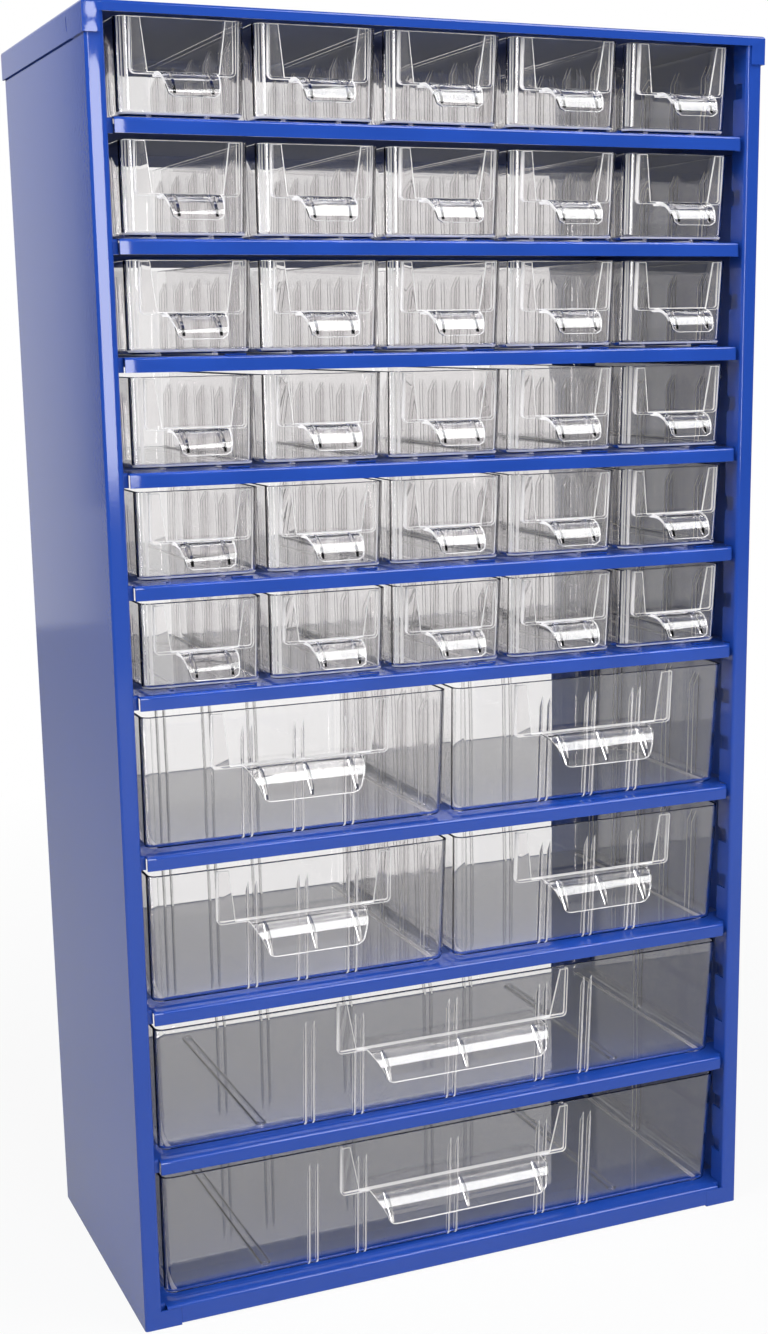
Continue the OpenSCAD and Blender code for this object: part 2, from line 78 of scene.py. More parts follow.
def add(tree, kind, inputs=None, **settings):
    """A node with its settings, and its inputs as values or as the outputs that feed them."""
    node = tree.nodes.new(kind)
    for name, value in settings.items():
        setattr(node, name, value)
    for key, value in (inputs or {}).items():
        if isinstance(value, bpy.types.NodeSocket):
            tree.links.new(value, node.inputs[key])
        else:
            node.inputs[key].default_value = value
    return node


def empty_material(name):
    """A new material and its empty node tree."""
    material = bpy.data.materials.new(name)
    material.use_nodes = True
    material.node_tree.nodes.clear()
    return material, material.node_tree


def seen_white(tree, lit, share, in_gloss):
    """What camera and transmission rays see of a paper: white of strength 1, mixed in by share.
    Glossy rays see it weaker, by in_gloss."""
    path = add(tree, "ShaderNodeLightPath").outputs
    gloss = add(tree, "ShaderNodeMath", {0: path["Is Glossy Ray"], 1: in_gloss},
                operation="MULTIPLY")
    direct = add(tree, "ShaderNodeMath",
                 {0: path["Is Camera Ray"], 1: path["Is Transmission Ray"]}, operation="MAXIMUM")
    seen = add(tree, "ShaderNodeMath", {0: gloss.outputs[0], 1: direct.outputs[0]},
               operation="MAXIMUM")
    part = add(tree, "ShaderNodeMath", {0: seen.outputs[0], 1: share}, operation="MULTIPLY")
    white = add(tree, "ShaderNodeEmission", {"Color": linear("#ffffff"), "Strength": 1.0})
    return add(tree, "ShaderNodeMixShader",
               {0: part.outputs[0], 1: lit, 2: white.outputs[0]}).outputs[0]


def sheet(name, corners, material):
    """A flat piece of the studio, which isn't part of the object."""
    mesh = bpy.data.meshes.new(name)
    mesh.from_pydata(corners, [], [tuple(range(len(corners)))])
    mesh.materials.append(material)
    piece = bpy.data.objects.new(name, mesh)
    scene.collection.objects.link(piece)
    return piece


# The paper is pure white from PAPER_PURE metres out. Near the cabinet a little of the shadow is
# mixed in, and in gloss it is darker in front of the cabinet than behind it.
PAPER_HALF, SHADOW_REACH, PAPER_PURE, NEAR_SHARE = 4, 0.30, 0.95, 0.92
GLOSS_FRONT_Y, GLOSS_BACK_Y, GLOSS_FRONT, GLOSS_BACK = -0.2, 0.1, 0.1, 0.36
paper, tree = empty_material("white_studio_paper")
matt = add(tree, "ShaderNodeBsdfDiffuse", {"Color": linear("#c8c9cb")})
spot = add(tree, "ShaderNodeTexCoord").outputs["Object"]
away = add(tree, "ShaderNodeVectorMath", {0: spot}, operation="LENGTH")
pure = add(tree, "ShaderNodeMapRange", {
    0: away.outputs["Value"], 1: SHADOW_REACH, 2: PAPER_PURE, 3: NEAR_SHARE, 4: 1.0})
depth = add(tree, "ShaderNodeSeparateXYZ", {0: spot})
gloss = add(tree, "ShaderNodeMapRange", {
    0: depth.outputs["Y"], 1: GLOSS_FRONT_Y, 2: GLOSS_BACK_Y, 3: GLOSS_FRONT, 4: GLOSS_BACK})
add(tree, "ShaderNodeOutputMaterial",
    {"Surface": seen_white(tree, matt.outputs[0], pure.outputs[0], gloss.outputs[0])})
paper_corners = ((-1, -1), (1, -1), (1, 1), (-1, 1))
sheet("floor", [(x * PAPER_HALF, y * PAPER_HALF, 0) for x, y in paper_corners], paper)

# The card's left end is what the left side and the posts mirror, so it fades out there.
CARD_LEFT, CARD_FULL, CARD_RIGHT, CARD_Y, CARD_TOP = -0.665, -0.56, 1.6, 2.0, 2.2
CARD_GLOSS_LEFT, CARD_GLOSS_FULL = 0.4, 0.8
card, tree = empty_material("white_background_card")
matt = add(tree, "ShaderNodeBsdfDiffuse", {"Color": linear("#f4f4f4")})
spot = add(tree, "ShaderNodeSeparateXYZ", {0: add(tree, "ShaderNodeTexCoord").outputs["Object"]})
fade = add(tree, "ShaderNodeMapRange", {
    0: spot.outputs["X"], 1: CARD_LEFT, 2: CARD_FULL, 3: CARD_GLOSS_LEFT, 4: CARD_GLOSS_FULL})
add(tree, "ShaderNodeOutputMaterial",
    {"Surface": seen_white(tree, matt.outputs[0], 1.0, fade.outputs[0])})
sheet("backdrop", [(CARD_LEFT, CARD_Y, 0.0), (CARD_RIGHT, CARD_Y, 0.0),
                   (CARD_RIGHT, CARD_Y, CARD_TOP), (CARD_LEFT, CARD_Y, CARD_TOP)], card)

# The room is a dim pale grey that only fills the shadows.
ROOM_LIGHT = 0.2
world = bpy.data.worlds.new("studio_room")
world.use_nodes = True
tree = world.node_tree
tree.nodes.clear()
path = add(tree, "ShaderNodeLightPath").outputs
room = add(tree, "ShaderNodeBackground", {"Color": linear("#c9ccd4"), "Strength": ROOM_LIGHT})
white = add(tree, "ShaderNodeBackground", {"Color": linear("#ffffff"), "Strength": 1.0})
direct = add(tree, "ShaderNodeMath", {0: path["Is Camera Ray"], 1: path["Is Transmission Ray"]},
             operation="MAXIMUM")
mix = add(tree, "ShaderNodeMixShader",
          {0: direct.outputs[0], 1: room.outputs[0], 2: white.outputs[0]})
add(tree, "ShaderNodeOutputWorld", {"Surface": mix.outputs[0]})
scene.world = world


def soft_box(name, place, target, width, height, radiance):
    """A rectangular lamp turned to its target. Its power follows from its cloth's brightness."""
    lamp = bpy.data.lights.new(name, "AREA")
    lamp.shape = "RECTANGLE"
    lamp.size, lamp.size_y = width, height
    lamp.energy = radiance * math.pi * width * height
    box = bpy.data.objects.new(name, lamp)
    box.location = place
    box.rotation_euler = (Vector(target) - Vector(place)).to_track_quat("-Z", "Y").to_euler()
    scene.collection.objects.link(box)


soft_box("front_box", place=(-0.03, -1.75, 0.87), target=(-0.03, 0, 0.87),
         width=0.48, height=1.25, radiance=10.5)
soft_box("left_side_box", place=(-0.75, -0.30, 0.95), target=(-0.15, 0, 0.40),
         width=0.45, height=0.60, radiance=10.0)
soft_box("overhead_box", place=(0.77, -0.95, 1.60), target=(0.77, -0.95, 0),
         width=0.81, height=1.5, radiance=7.0)

# ---- Folded steel pieces ----
# Side panels, bottom panel, shelves and cover: sheet steel of 0.8 mm, folded and spot welded, under
# glossy blue enamel with the faint orange peel that it keeps from baking. Inside the housing,
# behind the posts, the coat is rougher, and on faces turned down or inward and on the shelf tops
# its blue is darkened as painted shade.
PEEL_MM, CLOUD_MM = 1.6, 60
INSIDE_FROM_Y, COVER_FROM_Z, LEVEL_FACE = -0.05, 0.545, 0.7
TURNED_IN_FROM, TURNED_IN_FULL, DULL_ROUGHNESS = -0.03, -0.08, 0.9
enamel, tree = empty_material("blue_baked_enamel_on_steel")
place = add(tree, "ShaderNodeTexCoord").outputs["Object"]
cloud = add(tree, "ShaderNodeTexNoise", {
    "Vector": place, "Scale": 1 / (CLOUD_MM * MM), "Detail": 3.0})
shade = add(tree, "ShaderNodeMix",
            {0: cloud.outputs[0], 6: linear("#1a3e92"), 7: linear("#1f449c")}, data_type="RGBA")
peel = add(tree, "ShaderNodeTexNoise", {
    "Vector": place, "Scale": 1 / (PEEL_MM * MM), "Detail": 1.0})
rough = add(tree, "ShaderNodeMapRange", {0: cloud.outputs[0], 3: 0.07, 4: 0.11})
# Mask of the faces inside the housing where shade falls: down-facing, turned-in and shelf tops.
outward = add(tree, "ShaderNodeTexCoord").outputs["Normal"]
facing = add(tree, "ShaderNodeSeparateXYZ", {0: outward})
under = add(tree, "ShaderNodeMath", {0: facing.outputs["Z"], 1: -LEVEL_FACE},
            operation="LESS_THAN").outputs[0]
level = add(tree, "ShaderNodeVectorMath", {0: place, 1: (0.35, 1, 0)}, operation="MULTIPLY")
turned_in = add(tree, "ShaderNodeVectorMath", {0: level.outputs[0], 1: outward},
                operation="DOT_PRODUCT")
inner = add(tree, "ShaderNodeMapRange", {
    0: turned_in.outputs["Value"], 1: TURNED_IN_FROM, 2: TURNED_IN_FULL, 3: 0.0, 4: 1.0})
depth = add(tree, "ShaderNodeSeparateXYZ", {0: place})
behind = add(tree, "ShaderNodeMath", {0: depth.outputs["Y"], 1: INSIDE_FROM_Y},
             operation="GREATER_THAN").outputs[0]
upper = add(tree, "ShaderNodeMath", {0: facing.outputs["Z"], 1: LEVEL_FACE},
            operation="GREATER_THAN").outputs[0]
below = add(tree, "ShaderNodeMath", {0: depth.outputs["Z"], 1: COVER_FROM_Z},
            operation="LESS_THAN").outputs[0]
shelved = add(tree, "ShaderNodeMath", {0: upper, 1: below}, operation="MULTIPLY").outputs[0]
flat = add(tree, "ShaderNodeMath", {0: under, 1: shelved}, operation="MAXIMUM").outputs[0]
either = add(tree, "ShaderNodeMath", {0: inner.outputs[0], 1: flat},
             operation="MAXIMUM").outputs[0]
rough_and_painted_shade = add(tree, "ShaderNodeMath", {0: either, 1: behind}, operation="MULTIPLY").outputs[0]
thin_coat = add(tree, "ShaderNodeMix", {0: rough_and_painted_shade, 2: rough.outputs[0], 3: DULL_ROUGHNESS})
# Painted shade: on those faces the blue is mixed towards the dark #223a76, and the roughness rises.
painted_shade_tint = add(tree, "ShaderNodeMix", {0: rough_and_painted_shade, 6: shade.outputs[2], 7: linear("#223a76")},
           data_type="RGBA")
bump = add(tree, "ShaderNodeBump", {
    "Height": peel.outputs[0], "Strength": 0.25, "Distance": 0.00003})
paint = add(tree, "ShaderNodeBsdfPrincipled", {
    "Base Color": painted_shade_tint.outputs[2], "Roughness": thin_coat.outputs[0], "IOR": 1.5,
    "Normal": bump.outputs[0]})
add(tree, "ShaderNodeOutputMaterial", {"Surface": paint.outputs[0]})

BEND_SHARP = math.radians(30)
MERGE = 1e-6


def baked(piece):
    """The evaluated piece as a plain mesh of its own, without its modifiers."""
    evaluated = piece.evaluated_get(bpy.context.evaluated_depsgraph_get())
    mesh = bpy.data.meshes.new_from_object(evaluated)
    piece.modifiers.clear()
    piece.data = mesh
    return piece


def smooth_copy(name, change=None):
    """A CAD piece with its triangles merged and its bends shaded round, changed if asked."""
    mesh = frame["nodes"][name].data.copy()
    form = bmesh.new()
    form.from_mesh(mesh)
    bmesh.ops.remove_doubles(form, verts=form.verts, dist=MERGE)
    if change:
        change(form)
    for face in form.faces:
        face.smooth = True
        face.material_index = 0
    for edge in form.edges:
        edge.smooth = edge.calc_face_angle(0) < BEND_SHARP
    form.to_mesh(mesh)
    form.free()
    mesh.materials.clear()
    mesh.materials.append(enamel)
    piece = bpy.data.objects.new(f"enamelled_{name}", mesh)
    scene.collection.objects.link(piece)
    even = piece.modifiers.new("even", "WEIGHTED_NORMAL")
    even.keep_sharp = True
    baked(piece)
    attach(piece, "cabinet")
    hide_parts(name)
    return piece


def cut_at(form, axis, places):
    """New edges right through the piece at these places, so that it can be bent there."""
    for place in places:
        point, normal = [0, 0, 0], [0, 0, 0]
        point[axis], normal[axis] = place, 1
        bmesh.ops.bisect_plane(form, geom=form.verts[:] + form.edges[:] + form.faces[:], dist=1e-7,
                               plane_co=point, plane_no=normal)


# A press brake leaves its marks: the lips' ends turn back a little, and the narrow flanges of the
# posts and of the cover's corner tabs stand a little proud along their middle.
LIP_END, END_CURL, END_BACK, CURL_CUTS = 141.8 * MM, 7 * MM, 0.28 * MM, 6
FRONT_Y, LIP_DEPTH, FLANGE_DEPTH = -70 * MM, 4 * MM, 1.8 * MM


def curl_lip_ends(form):
    """The last few millimetres of a lip turn back a little at both ends."""
    steps = [LIP_END - END_CURL * (1 - i / CURL_CUTS) for i in range(CURL_CUTS)]
    cut_at(form, 0, [-s for s in steps] + steps)
    for vert in form.verts:
        along = (abs(vert.co.x) - LIP_END + END_CURL) / END_CURL
        if along > 0 and vert.co.y < FRONT_Y + LIP_DEPTH:
            vert.co.y += END_BACK * min(along, 1) ** 3


def ramp(value, low, high):
    """0 below low, 1 above high, and a smooth rise between them."""
    t = min(max((value - low) / (high - low), 0), 1)
    return t * t * (3 - 2 * t)


def crown(form, x_outer, x_top, x_inner, height, at_z):
    """The front flange stands proud by height times at_z along x_top, and less to both sides."""
    steps = [x_outer + (x_top - x_outer) * i / 4 for i in range(5)]
    steps += [x_top + (x_inner - x_top) * i / 4 for i in range(1, 5)]
    cut_at(form, 0, [-x for x in steps] + steps)
    for vert in form.verts:
        x = abs(vert.co.x)
        if x_inner < x < x_outer and vert.co.y < FRONT_Y + FLANGE_DEPTH:
            if x > x_top:
                rise = (x_outer - x) / (x_outer - x_top)
            else:
                rise = 1 - ((x_top - x) / (x_top - x_inner)) ** 2
            vert.co.y -= height * rise * at_z(vert.co.z)


POST_LOW, POST_HIGH, POST_FADE, POST_PROUD = 14, 538, 16, 0.28 * MM
TAB_LOW, TAB_CUT, TAB_CUTS, TAB_PROUD = 538, 1.2, 11, 0.3 * MM
DIMPLE_Z, DIMPLE_H = 549.7 * MM, 7 * MM


def crown_posts(form):
    cuts = [POST_LOW + 4 * i for i in range(5)] + [POST_HIGH - POST_FADE + 4 * i for i in range(5)]
    cut_at(form, 2, [z * MM for z in cuts])
    crown(form, 150.6 * MM, 146.9 * MM, 144.6 * MM, POST_PROUD,
          lambda z: ramp(z, POST_LOW * MM, (POST_LOW + POST_FADE) * MM)
          * (1 - ramp(z, (POST_HIGH - POST_FADE) * MM, POST_HIGH * MM)))


def crown_cover_tabs(form):
    cut_at(form, 2, [(TAB_LOW + TAB_CUT * i) * MM for i in range(TAB_CUTS)])
    crown(form, 151.4 * MM, 147.4 * MM, 144.6 * MM, TAB_PROUD,
          lambda z: 0.55 + 0.45 * math.cos((z - DIMPLE_Z) / DIMPLE_H * math.pi * 2))


CHANGES = {"left_side_panel": crown_posts, "right_side_panel": crown_posts,
           "top_cover": crown_cover_tabs}
for name in frame["record"]["behaviour"]["bodies"]["cabinet"]:
    smooth_copy(name, CHANGES.get(name, curl_lip_ends if name.startswith("shelf") else None))

# ---- Drawer tubs ----
# Clear polystyrene, injection moulded in one shot: thin walls with a little draft, a front that
# leans out, rounded corners and a polished surface that bends and mirrors what is behind it.
UNIT, DEEP_HEAD, SMALL_HEAD, WALL, BASE_Z, BASE_T = 22.8, 9.5, 7.8, 1.3, 1.0, 1.3
LEAN, DRAFT = math.radians(4), math.radians(1)
LEDGE_Y, REAR = -64.0, 138.7
CORNER_R, EDGE_R, RIM_R = 4.5, 2.6, 0.45
DEEP_ROW_W, SMALL_ROW_W, GAP = 282.0, 278.0, 3.5
SMALL_W, MEDIUM_W = (SMALL_ROW_W - 4 * GAP) / 5, (DEEP_ROW_W - GAP) / 2
SMALL_RIM, DEEP_RIM = 2 * UNIT - SMALL_HEAD, 3 * UNIT - DEEP_HEAD

clear, tree = empty_material("clear_moulded_polystyrene")
place = add(tree, "ShaderNodeTexCoord").outputs["Object"]
FLOW_MM, RUB_MM = 9, 14
flow = add(tree, "ShaderNodeTexNoise", {
    "Vector": place, "Scale": 1 / (FLOW_MM * MM), "Detail": 2.0})
rub = add(tree, "ShaderNodeTexNoise", {
    "Vector": place, "Scale": 1 / (RUB_MM * MM), "Detail": 5.0})
haze = add(tree, "ShaderNodeMapRange", {0: rub.outputs[0], 1: 0.45, 2: 0.75, 3: 0.0, 4: 0.03})
wave = add(tree, "ShaderNodeBump", {
    "Height": flow.outputs[0], "Strength": 0.3, "Distance": 0.00003})
plastic = add(tree, "ShaderNodeBsdfPrincipled", {
    "Base Color": linear("#f7f6f6"), "Roughness": haze.outputs[0], "IOR": 1.59,
    "Transmission Weight": 1.0, "Normal": wave.outputs[0]})
lamp_way = add(tree, "ShaderNodeBsdfTransparent", {"Color": linear("#f2f1f1")})
path = add(tree, "ShaderNodeLightPath")
both = add(tree, "ShaderNodeMixShader", {
    0: path.outputs["Is Shadow Ray"], 1: plastic.outputs[0], 2: lamp_way.outputs[0]})
add(tree, "ShaderNodeOutputMaterial", {"Surface": both.outputs[0]})


# Edges and thin blades of the same moulding: the tool is less polished there, so they are a little
# rough, and a white lit from both sides is mixed in as a painted highlight of the light that the
# plastic guides to its edges, so they look white and only half clear.
PAINTED_HIGHLIGHT_WHITE = 0.65
edge, tree = empty_material("white_painted_highlight_edge_of_polystyrene")
path = add(tree, "ShaderNodeLightPath")
half_clear = add(tree, "ShaderNodeBsdfPrincipled", {
    "Base Color": linear("#f8f8f7"), "Roughness": 0.12, "IOR": 1.59, "Transmission Weight": 1.0})
front_lit = add(tree, "ShaderNodeBsdfDiffuse", {"Color": linear("#fcfbfb")})
back_lit = add(tree, "ShaderNodeBsdfTranslucent", {"Color": linear("#fcfbfb")})
# Painted highlight: this white share stands in for the light that the edges catch.
painted_highlight_white = add(tree, "ShaderNodeMixShader", {
    0: 0.5, 1: front_lit.outputs[0], 2: back_lit.outputs[0]})
satin_and_painted_highlight = add(tree, "ShaderNodeMixShader", {
    0: PAINTED_HIGHLIGHT_WHITE, 1: half_clear.outputs[0], 2: painted_highlight_white.outputs[0]})
lamp_way = add(tree, "ShaderNodeBsdfTransparent", {"Color": linear("#cac9c9")})
both = add(tree, "ShaderNodeMixShader", {
    0: path.outputs["Is Shadow Ray"], 1: satin_and_painted_highlight.outputs[0], 2: lamp_way.outputs[0]})
add(tree, "ShaderNodeOutputMaterial", {"Surface": both.outputs[0]})


def mesh_object(name, points, faces):
    """A moulded piece: its first material is the polished wall, its second the satin edge with its
    painted white highlight.
    """
    mesh = bpy.data.meshes.new(name)
    mesh.from_pydata(points, [], faces)
    mesh.materials.append(clear)
    mesh.materials.append(edge)
    piece = bpy.data.objects.new(name, mesh)
    scene.collection.objects.link(piece)
    return piece


# A tub is CORNER_STEPS + 1 points round each of four corners, in rings from its underside up, over
# the rim and down inside. On small drawers some corner strips take the white edge material, a
# painted highlight of the streaks that light makes in bent plastic.
CORNERS, CORNER_STEPS = 4, 8
AROUND = CORNERS * (CORNER_STEPS + 1)
FLOOR_EDGE, OUTER_WALL, INNER_WALL = 2, 4, 14
PAINTED_HIGHLIGHT_STRIPS = [(OUTER_WALL, 30)] + [(INNER_WALL, segment) for segment in (31, 33, 34, 2)]
PAINTED_HIGHLIGHT_STRIPS += [(FLOOR_EDGE, segment % AROUND) for segment in range(27, 45)]


def tub(width, rim, ledge, painted_highlight_strips=()):
    """Outer wall, rolled rim and inner wall as rings of points, closed by the two floors."""
    def ring(z, inset):
        half = width / 2 - math.tan(DRAFT) * (rim - z) - inset
        front = -math.tan(LEAN) * (z - ledge) + inset
        rear = REAR - math.tan(DRAFT) * (rim - z) - inset
        r = max(CORNER_R - inset, 1.2)
        centres = [(half - r, front + r), (half - r, rear - r),
                   (r - half, rear - r), (r - half, front + r)]
        turn = [(i, math.radians(90 * i + 90 / CORNER_STEPS * j))
                for i in range(CORNERS) for j in range(CORNER_STEPS + 1)]
        return [(centres[i][0] + r * math.sin(a), centres[i][1] - r * math.cos(a), z)
                for i, a in turn]

    quarter = [math.radians(a) for a in (0, 22.5, 45, 67.5, 90)]
    inner_r, floor_z = EDGE_R - WALL, BASE_Z + BASE_T
    steps = [(BASE_Z + EDGE_R * (1 - math.cos(a)), EDGE_R * (1 - math.sin(a))) for a in quarter]
    steps += [(rim - RIM_R * (1 - math.sin(a)), RIM_R * (1 - math.cos(a))) for a in quarter]
    steps += [(rim - RIM_R * (1 - math.cos(a)), WALL - RIM_R * (1 - math.sin(a))) for a in quarter]
    steps += [(floor_z + inner_r * (1 - math.sin(a)), WALL + inner_r * (1 - math.cos(a)))
              for a in quarter]
    points = [p for z, inset in steps for p in ring(z, inset)]
    n = AROUND
    faces = [(k * n + i, k * n + (i + 1) % n, (k + 1) * n + (i + 1) % n, (k + 1) * n + i)
             for k in range(len(steps) - 1) for i in range(n)]
    faces.append(tuple(range(n - 1, -1, -1)))
    faces.append(tuple(range(len(points) - n, len(points))))
    piece = mesh_object("tub", points, faces)
    # Painted highlight: these strips get the white edge material.
    for wall, segment in painted_highlight_strips:
        piece.data.polygons[wall * n + segment].material_index = 1
    return piece


# ---- Divider ribs ----
# Pairs of thin blades on the inner walls, moulded with the tub, that hold a divider between them.
# Each blade runs out to a point below the rim.
RIB_T, RIB_D, RIB_POINT, RIB_TIP, RIB_NARROW, SINK = 0.9, 2.4, 6.0, 0.36, 0.8, 0.25
FREE_EDGE = (3, 7)


def rib(ref_z, lean, top):
    """One blade on a wall whose outer face passes through the origin at height ref_z."""
    low = (BASE_Z + BASE_T / 2 - ref_z) / math.cos(lean)
    high = (top - ref_z) / math.cos(lean)
    near, far, t = WALL - SINK, WALL + RIB_D, RIB_T / 2
    points = [(-t, near, low), (t, near, low), (t, far, low), (-t, far, low),
              (-t, near, high - RIB_POINT), (t, near, high - RIB_POINT),
              (t * RIB_NARROW, far, high - RIB_POINT), (-t * RIB_NARROW, far, high - RIB_POINT),
              (-RIB_TIP / 2, near, high), (RIB_TIP / 2, near, high)]
    faces = [(3, 2, 1, 0), (0, 1, 5, 4), (1, 2, 6, 5), (2, 3, 7, 6), (3, 0, 4, 7),
             (4, 5, 9, 8), (5, 6, 9), (6, 7, 8, 9), (7, 4, 8)]
    piece = mesh_object("rib", points, faces)
    # The blade's free edges take the white edge material, a painted highlight.
    for i in FREE_EDGE:
        piece.data.polygons[i].material_index = 1
    return piece


rib_rows = bpy.data.node_groups.new("rows_of_rib_pairs", "GeometryNodeTree")


def named_input(name, kind):
    return rib_rows.interface.new_socket(name, in_out="INPUT", socket_type=kind)


named_input("Geometry", "NodeSocketGeometry")
blade_in = named_input("Blade", "NodeSocketObject")
count_in = named_input("Pairs", "NodeSocketInt")
step_in = named_input("Distance of pairs", "NodeSocketFloat")
pitch_in = named_input("Distance in a pair", "NodeSocketFloat")
rib_rows.interface.new_socket("Geometry", in_out="OUTPUT", socket_type="NodeSocketGeometry")
given = add(rib_rows, "NodeGroupInput").outputs
less = add(rib_rows, "ShaderNodeMath", {0: given["Pairs"], 1: 1.0}, operation="SUBTRACT")
span = add(rib_rows, "ShaderNodeMath", {0: less.outputs[0], 1: given["Distance of pairs"]},
           operation="MULTIPLY")
start = add(rib_rows, "ShaderNodeMath", {0: span.outputs[0], 1: -0.5}, operation="MULTIPLY")
start_at = add(rib_rows, "ShaderNodeCombineXYZ", {0: start.outputs[0]})
stride = add(rib_rows, "ShaderNodeCombineXYZ", {0: given["Distance of pairs"]})
row = add(rib_rows, "GeometryNodeMeshLine", {
    "Count": given["Pairs"], "Start Location": start_at.outputs[0], "Offset": stride.outputs[0]})
half_pitch = add(rib_rows, "ShaderNodeMath", {0: given["Distance in a pair"], 1: -0.5},
                 operation="MULTIPLY")
pair_at = add(rib_rows, "ShaderNodeCombineXYZ", {0: half_pitch.outputs[0]})
pair_by = add(rib_rows, "ShaderNodeCombineXYZ", {0: given["Distance in a pair"]})
pair = add(rib_rows, "GeometryNodeMeshLine", {
    "Count": 2, "Start Location": pair_at.outputs[0], "Offset": pair_by.outputs[0]})
blade = add(rib_rows, "GeometryNodeObjectInfo", {"Object": given["Blade"]})
one_pair = add(rib_rows, "GeometryNodeInstanceOnPoints", {
    "Points": pair.outputs[0], "Instance": blade.outputs["Geometry"]})
all_pairs = add(rib_rows, "GeometryNodeInstanceOnPoints", {
    "Points": row.outputs[0], "Instance": one_pair.outputs[0]})
solid = add(rib_rows, "GeometryNodeRealizeInstances", {"Geometry": all_pairs.outputs[0]})
slot_of_face = add(rib_rows, "GeometryNodeInputMaterialIndex")
polished = add(rib_rows, "FunctionNodeCompare", {2: slot_of_face.outputs[0], 3: 0},
               data_type="INT", operation="EQUAL")
dressed = add(rib_rows, "GeometryNodeSetMaterial", {
    "Geometry": solid.outputs[0], "Selection": polished.outputs[0], "Material": clear})
add(rib_rows, "NodeGroupOutput", {"Geometry": dressed.outputs[0]})


def rib_row(blade, pairs, step, pitch, where):
    """A row of rib pairs along one wall, put in place by the matrix where."""
    piece = mesh_object("rib_row", [], [])
    modifier = piece.modifiers.new("rows", "NODES")
    modifier.node_group = rib_rows
    modifier[blade_in.identifier] = blade
    modifier[count_in.identifier] = pairs
    modifier[step_in.identifier] = float(step)
    modifier[pitch_in.identifier] = float(pitch)
    baked(piece).data.transform(where)
    return piece


# ---- Label holders and pulls ----
# On each front a shallow open-topped frame takes a paper label. Below its ledge a curved hood
# reaches out and down for the fingers, with thin webs under it, all in the same shot as the tub.
HOLDER_D, HOLDER_T, HOLDER_R, HOLDER_TOP, HOLDER_EASE = 2.4, 1.0, 2.2, 0.6, 0.25
REACH, PULL_R, PULL_T, PULL_STEP, PULL_EASE = 16.0, 11.0, 1.5, 0.4, 0.22
WEB_T, WEB_LIFT = 1.2, 1.0
TURN_STEPS, TIP_ANGLES, WELD = 12, (30, 50, 70, 90), 1e-4


def slab(points, y0, y1, axis="y", ease=0.0):
    """A flat outline of (across, up) points made solid between two depths, with eased edges."""
    n = len(points)
    put = (lambda a, b, d: (a, d, b)) if axis == "y" else (lambda a, b, d: (d, a, b))
    corners = [put(a, b, y0) for a, b in points] + [put(a, b, y1) for a, b in points]
    faces = [tuple(range(n)), tuple(range(2 * n - 1, n - 1, -1))]
    faces += [(i, i + n, (i + 1) % n + n, (i + 1) % n) for i in range(n)]
    piece = mesh_object("slab", corners, faces)
    form = bmesh.new()
    form.from_mesh(piece.data)
    bmesh.ops.recalc_face_normals(form, faces=form.faces)
    # Side faces and eased edges take the second material, the edge with its painted white
    # highlight.
    for face in form.faces:
        face.material_index = 0 if abs(face.normal[1 if axis == "y" else 0]) > 0.9 else 1
    if ease:
        sharp = [e for e in form.edges if e.calc_face_angle(0) > math.radians(40)]
        bmesh.ops.bevel(form, geom=sharp, offset=ease, segments=2, profile=0.5, affect="EDGES",
                        clamp_overlap=True, material=1)
    bmesh.ops.triangulate(form, faces=[f for f in form.faces if len(f.verts) > 4])
    form.to_mesh(piece.data)
    form.free()
    return piece


def holder(width, wing_top, wing_foot, rim, ledge):
    """Front frame with a window that narrows downwards, and the channel behind it."""
    h = (rim - HOLDER_TOP - ledge) / math.cos(LEAN)
    half = width / 2

    def u_shape(inset):
        r, low = HOLDER_R - inset, inset - HOLDER_T
        arc = [math.radians(a) for a in range(0, 91, 15)]
        side = half - inset - r
        left = [(-side - r * math.cos(a), low + r - r * math.sin(a)) for a in arc]
        return left + [(side + r * math.sin(a), low + r - r * math.cos(a)) for a in arc]

    outer = [(-half, h)] + u_shape(0) + [(half, h)]
    window = [(half - wing_top, h), (half - wing_foot, 0),
              (-half + wing_foot, 0), (-half + wing_top, h)]
    channel = [(half - HOLDER_T, h)] + u_shape(HOLDER_T)[::-1] + [(-half + HOLDER_T, h)]
    face = slab(outer + window, -HOLDER_D, HOLDER_T - HOLDER_D, ease=HOLDER_EASE)
    sides = slab(outer + channel, HOLDER_T / 2 - HOLDER_D, WALL / 2)
    for part in (face, sides):
        part.data.transform(Matrix.Translation((0, 0, ledge)) @ Matrix.Rotation(LEAN, 4, "X"))
    return [face, sides]


